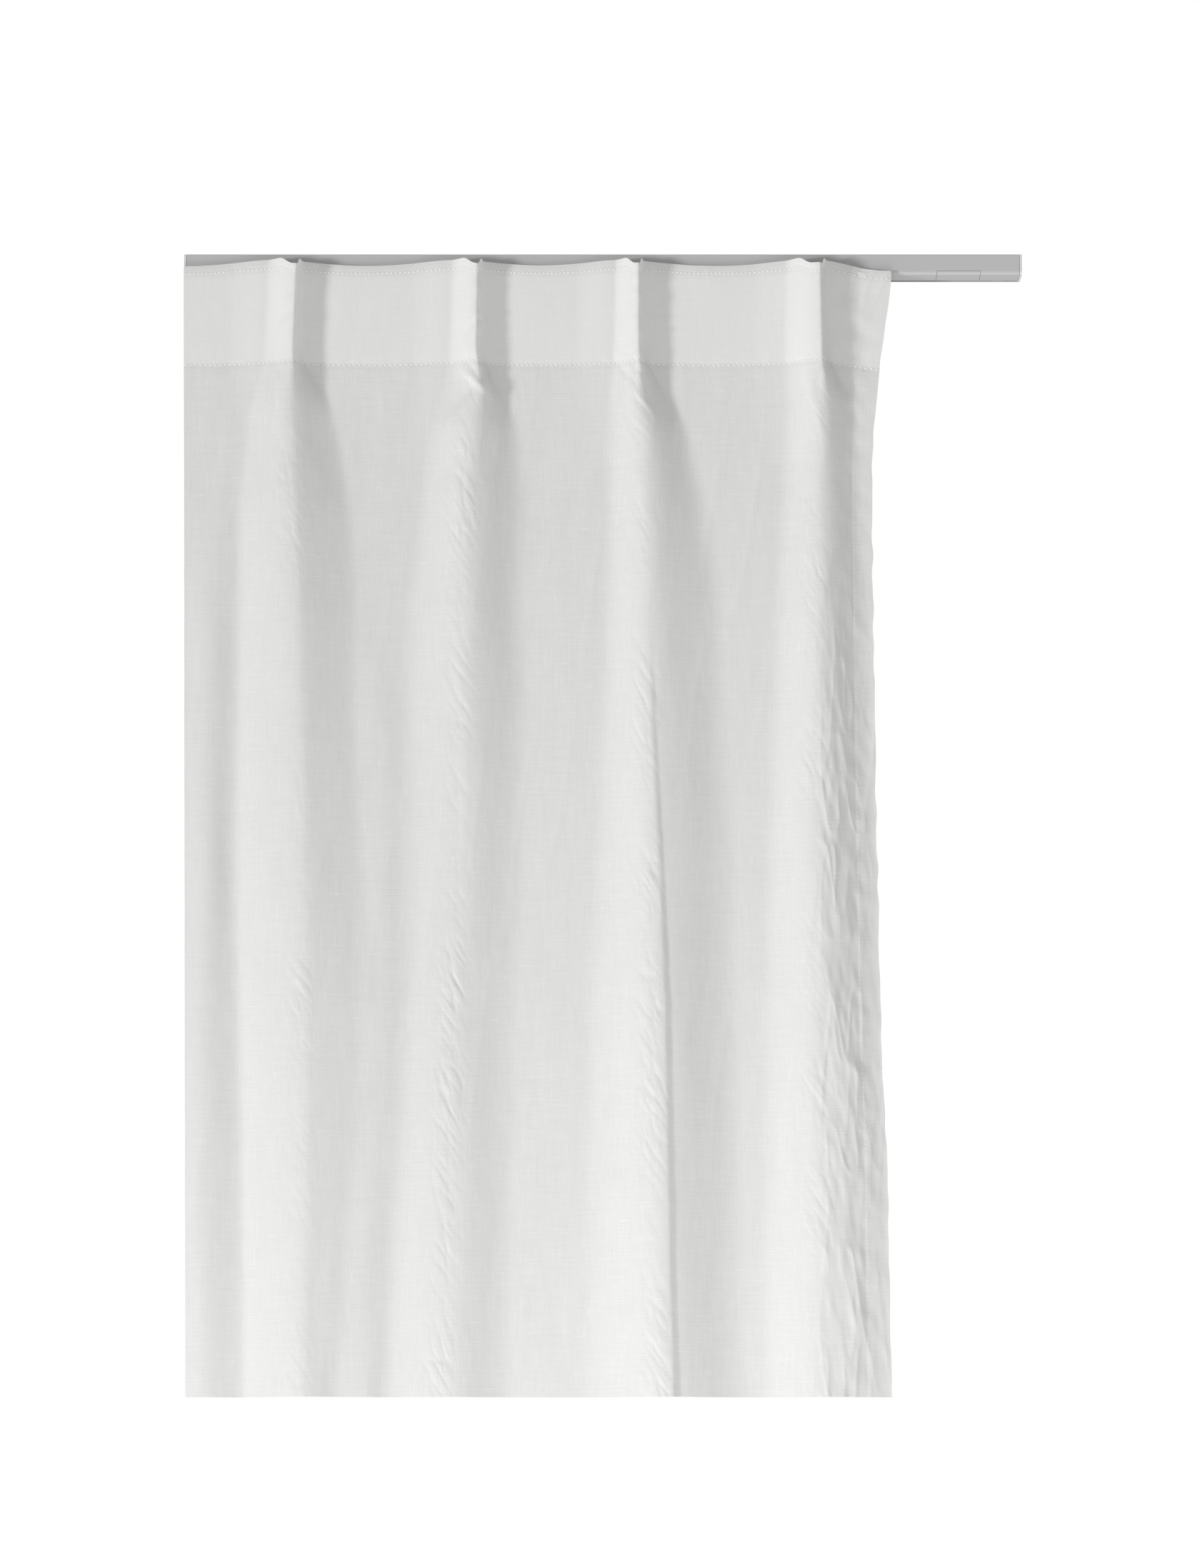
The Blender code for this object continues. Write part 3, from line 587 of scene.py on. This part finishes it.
# ---------------------------------------------------------------- the cloth pieces
uv_grid = np.stack([U, V], -1)
BODIES = ("fixed_edge", "pleat_1", "pleat_2", "pleat_3", "leading_edge")
PLACES = ("edge", "one", "two", "three", "free_edge")
CAD_CLOTH = (
    ("side_hem_left", "cloth_end_left"),
    ("cloth_pleat_1", "cloth_span_1"),
    ("cloth_pleat_2", "cloth_span_2"),
    ("cloth_pleat_3", "cloth_span_3"),
    ("cloth_pleat_4", "cloth_end_right", "side_hem_right"),
)
CAD_TAPE = ("tape_end_left", "tape_span_1", "tape_span_2", "tape_span_3", "tape_end_right")
LAST_PART = len(PLACES) - 1
firsts = np.cumsum((0, *SEGMENT_COLUMNS))  # each part's first column of the grid


def hang(piece, part):
    """Hangs the last part's piece on its body; any other piece only has its place baked into its
    mesh.
    """
    if part == LAST_PART:
        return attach(piece, BODIES[part])
    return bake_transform(piece)


def finish_piece(piece, part, material):
    """Gives the piece its finish, then passes it to hang."""
    assign(piece, material)
    return hang(piece, part)


def back_layer(name, rows, columns, part):
    """A second layer of cloth behind a stretch of the first."""
    normals = fine_normals[rows, columns]
    points = grid[rows, columns] - normals * (CLOTH_THICKNESS + LAYER_GAP)
    layer = solid_sheet(name, points, normals, CLOTH_THICKNESS, uv_grid[rows, columns])
    return finish_piece(layer, part, linen)


hem_rows = slice(int(np.searchsorted(v_line, DROP - BOTTOM_HEM)), ROWS + 1)
for part, place in enumerate(PLACES):
    columns = slice(firsts[part], firsts[part + 1] + 1)
    points, normals = grid[:, columns], fine_normals[:, columns]
    piece = solid_sheet(f"cloth_{place}", points, normals, CLOTH_THICKNESS, uv_grid[:, columns])
    finish_piece(piece, part, linen)
    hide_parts(*CAD_CLOTH[part])
    turned = [back_layer(f"lower_hem_{place}", hem_rows, columns, part)]
    if part in (0, LAST_PART):
        from_edge = U[0] if part == 0 else from_right[0]
        inside = np.nonzero(from_edge <= HEM_WIDTH + 1e-6)[0]
        hem_columns = slice(inside.min(), inside.max() + 1)
        name = "side_hem_left_turn" if part == 0 else "side_hem_right_turn"
        turned.append(back_layer(name, slice(0, hem_rows.start), hem_columns, part))


# ---------------------------------------------------------------- the heading tape behind it
PRONG_OFFSETS = [x * MM for x in (-8, -3, 3, 8)]
prong_x = [p + o for p in PLEAT_X for o in PRONG_OFFSETS]
prong_x += [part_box(n)[0].x / 2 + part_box(n)[1].x / 2 for n in ("hook_end_left", "hook_end_right")]
HOOK_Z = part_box("hook_pleat_1")[0].z
TAPE_STEP = 0.0011
TAPE_ROWS = 41
POCKET_PITCH = 0.0105
POCKET_SWELL = 0.00035
PRONG_SWELL = 0.0022  # where a hook's prong fills its pocket


def tape_part(part):
    """The tape behind one part of the cloth. It runs straight across behind the pleats."""
    shares = np.linspace(0, 1, TAPE_ROWS)
    v = TAPE_TOP + (TAPE_LOW - TAPE_TOP) * shares
    rows = np.interp(v, v_line, np.arange(ROWS + 1)).round().astype(int)
    x0 = np.interp(0.05, v_line, X[:, firsts[part]]) + (0.003 if part == 0 else 0)
    x1 = np.interp(0.05, v_line, X[:, firsts[part + 1]]) - (0.012 if part == LAST_PART else 0)
    count = int((x1 - x0) / TAPE_STEP)
    xs = np.linspace(x0, x1, count + 1)
    points = np.zeros((len(v), count + 1, 3))
    normal = np.zeros_like(points)
    for k, row in enumerate(rows):
        cloth_depth = CLOTH_Y - np.interp(xs, grid[row, :, 0], grid[row, :, 1])
        straight = smooth_rows(np.minimum(cloth_depth, 0.0004), 3)
        points[k, :, 0] = xs
        points[k, :, 1] = TAPE_Y - np.minimum(straight, cloth_depth)
        points[k, :, 2] = np.interp(xs, grid[row, :, 0], grid[row, :, 2] + (v_line[row] - v[k]))
    if part == LAST_PART:
        edge = np.array([np.interp(y, v_line, X[:, -1]) for y in v])[:, None] - 0.003
        points[:, :, 0] = x0 + (points[:, :, 0] - x0) * (edge - x0) / (x1 - x0)
    normal[:, :, 1] = -1
    pocket = np.abs(np.mod(points[:, :, 0] / POCKET_PITCH, 1) - 0.5) * 2
    banded = eased((shares - 0.05) / 0.03) * eased((0.95 - shares) / 0.03)
    swell = POCKET_SWELL * eased((0.86 - pocket) / 0.14) * banded[:, None]
    z = points[:, :, 2]
    mouth = eased((z - HOOK_Z - 0.007) / 0.003) * eased((TOP_Z - 0.012 - z) / 0.004)
    for x in prong_x:
        swell = np.maximum(swell, PRONG_SWELL * bell(points[:, :, 0] - x, 0.0014) * mouth)
    back = points.copy()
    back[:, :, 1] += TAPE_THICKNESS / 2 + swell
    front = points.copy()
    front[:, :, 1] -= TAPE_THICKNESS / 2
    middle_line = (front + back) / 2
    thick = back[:, :, 1:2] - front[:, :, 1:2]
    shade = grid_normals(back)
    uv = np.stack([points[:, :, 0], np.repeat(v[:, None], count + 1, 1)], -1)
    tape = solid_sheet(f"heading_tape_{PLACES[part]}", middle_line, normal, thick, uv, shade)
    finish_piece(tape, part, tape_cloth)
    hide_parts(CAD_TAPE[part])


for part in range(len(PLACES)):
    tape_part(part)


# ---------------------------------------------------------------- stitches
ROW_THREAD_RADIUS = 0.00048
HEM_THREAD_RADIUS = 0.00017


def stitch_mesh(name, centres, along, outwards, length, radius):
    """One small bowed thread for each centre."""
    sides, stations = 6, (-0.5, -0.32, 0.0, 0.32, 0.5)
    widths, lifts = (0.35, 0.9, 1.0, 0.9, 0.35), (-0.7, 0.1, 0.45, 0.1, -0.7)
    along = along / np.linalg.norm(along, axis=1, keepdims=True)
    side = np.cross(outwards, along)
    rings = []
    for station, width, lift in zip(stations, widths, lifts):
        middle_point = centres + along * station * length + outwards * lift * radius
        for k in range(sides):
            turn = 2 * math.pi * k / sides
            spoke = side * math.cos(turn) + outwards * math.sin(turn) * 0.8
            rings.append(middle_point + radius * width * spoke)
    count, per = len(centres), sides * len(stations)
    vertices = np.stack(rings, 1).reshape(-1, 3)
    one = []
    for ring in range(len(stations) - 1):
        for k in range(sides):
            a, b = ring * sides + k, ring * sides + (k + 1) % sides
            one.append((a, b, b + sides, a + sides))
    quads = (np.array(one)[None] + np.arange(count)[:, None, None] * per).reshape(-1, 4).tolist()
    caps = []
    for k in range(count):
        base = k * per
        caps.append([base + sides - 1 - j for j in range(sides)])
        caps.append([base + per - sides + j for j in range(sides)])
    mesh = bpy.data.meshes.new(name)
    mesh.from_pydata(vertices.tolist(), [], quads + caps)
    mesh.polygons.foreach_set("use_smooth", np.ones(len(mesh.polygons), bool))
    mesh.update()
    return place_in_scene(name, mesh)


def row_of_stitches(name, part, v_at, pitch):
    """Stitches across one part of the cloth, on its front."""
    first = math.ceil(u_line[firsts[part]] / pitch - 0.5) + 0.5
    u = np.arange(first * pitch, u_line[firsts[part + 1]], pitch)
    shake = np.random.RandomState(int(v_at * 1e5) + part).uniform(-1, 1, (2, len(u)))
    v = v_at + 0.00018 * shake[0]
    u = np.clip(u + 0.05 * pitch * shake[1], 0.0006, FABRIC_WIDTH - 0.0006)
    centre = sample(grid, u, v)
    out = sample(fine_normals, u, v)
    out /= np.linalg.norm(out, axis=1, keepdims=True)
    line = sample(grid, u + 0.0004, v) - sample(grid, u - 0.0004, v)
    centre = centre + out * (CLOTH_THICKNESS / 2)
    piece = stitch_mesh(name, centre, line, out, 0.62 * pitch, ROW_THREAD_RADIUS)
    return finish_piece(piece, part, thread)


def line_of_stitches(name, part, u_at, side):
    """Stitches down a hem; side is 1 for the front of the cloth and -1 for its back."""
    v = np.arange(0.004, DROP - 0.003, HEM_PITCH)
    u = np.full_like(v, u_at) + 0.0002 * np.random.RandomState(77 + part).uniform(-1, 1, len(v))
    centre = sample(grid, u, v)
    out = sample(fine_normals, u, v)
    out /= np.linalg.norm(out, axis=1, keepdims=True)
    line = sample(grid, u, v + 0.001) - sample(grid, u, v - 0.001)
    lift = CLOTH_THICKNESS / 2 if side > 0 else 1.5 * CLOTH_THICKNESS + LAYER_GAP
    centre = centre + side * out * lift
    piece = stitch_mesh(name, centre, line, side * out, 0.6 * HEM_PITCH, HEM_THREAD_RADIUS)
    return finish_piece(piece, part, thread)


for part, place in enumerate(PLACES):
    row_of_stitches(f"stitches_upper_{place}", part, STITCH_TOP, UPPER_PITCH)
    row_of_stitches(f"stitches_lower_{place}", part, STITCH_LOW, LOWER_PITCH)
from_side = HEM_WIDTH - HEM_STITCH_INSET
line_of_stitches("stitches_hem_left", 0, from_side, -1)
line_of_stitches("stitches_hem_right", LAST_PART, FABRIC_WIDTH - from_side, 1)

# ---------------------------------------------------------------- camera, light and floor
CAMERA_PLACE = (-0.0031, -4.5, -1.1016)
CAMERA_UP = 8.08  # degrees above level
LENS, SENSOR = 121.4, 36
WORLD_LIGHT, WORLD_SEEN = 0.425, 1.0
FLOOR_Z, FLOOR_REACH = -2.35, 4

camera_data = bpy.data.cameras.new("camera")
camera = place_in_scene("camera", camera_data)
camera_data.sensor_width = SENSOR
camera_data.lens = LENS
camera.location = CAMERA_PLACE
camera.rotation_euler = (math.radians(90 + CAMERA_UP), 0, 0)
camera_data.clip_end = 100
bpy.context.scene.camera = camera

# the backdrop looks white, but lights the curtain with less
world = bpy.data.worlds.new("studio")
bpy.context.scene.world = world
world.use_nodes = True
tree = world.node_tree
background = tree.nodes["Background"]
background.inputs["Color"].default_value = (1, 1, 1, 1)
path = tree.nodes.new("ShaderNodeLightPath")
level = tree.nodes.new("ShaderNodeMapRange")
level.inputs["To Min"].default_value = WORLD_LIGHT
level.inputs["To Max"].default_value = WORLD_SEEN
tree.links.new(path.outputs["Is Camera Ray"], level.inputs["Value"])
tree.links.new(level.outputs["Result"], background.inputs["Strength"])


def sun(name, strength, spread, towards):
    """A sun that stands in the direction towards; spread is its width in degrees."""
    data = bpy.data.lights.new(name, "SUN")
    data.energy = strength
    data.angle = math.radians(spread)
    lamp = place_in_scene(name, data)
    lamp.rotation_euler = Vector(towards).to_track_quat("Z", "Y").to_euler()


def panel_light(name, power, width, height, place, tilt):
    """A rectangular light, tilted from facing straight down by that many degrees."""
    data = bpy.data.lights.new(name, "AREA")
    data.shape = "RECTANGLE"
    data.size, data.size_y = width, height
    data.energy = power
    lamp = place_in_scene(name, data)
    lamp.location = place
    lamp.rotation_euler = (math.radians(tilt), 0, 0)
    lamp.visible_camera = False


def around(angle, height):
    """A direction that many degrees to the right of the viewer."""
    return (math.sin(math.radians(angle)), -math.cos(math.radians(angle)), height)


sun("key", 1.45, 8, around(-57, -math.tan(math.radians(10))))
sun("side", 0.16, 25, around(70, 0.1))
sun("behind", 1.2, 20, (0.55, 0.75, 0.42))
panel_light("fill", 7.2, 1.4, 0.8, (0.0, -1.65, -1.95), 110)
panel_light("below", 13, 2.4, 1.0, (0.0, -0.8, -2.3), 180)

corner_signs = ((-1, -1), (1, -1), (1, 1), (-1, 1))
corners = [(x * FLOOR_REACH, y * FLOOR_REACH, FLOOR_Z) for x, y in corner_signs]
mesh = bpy.data.meshes.new("floor")
mesh.from_pydata(corners, [], [(0, 1, 2, 3)])
floor = place_in_scene("floor", mesh)
assign(floor, new_material("floor", (0.9, 0.9, 0.9), 0.8)[0])

bpy.context.scene.view_settings.view_transform = "Standard"
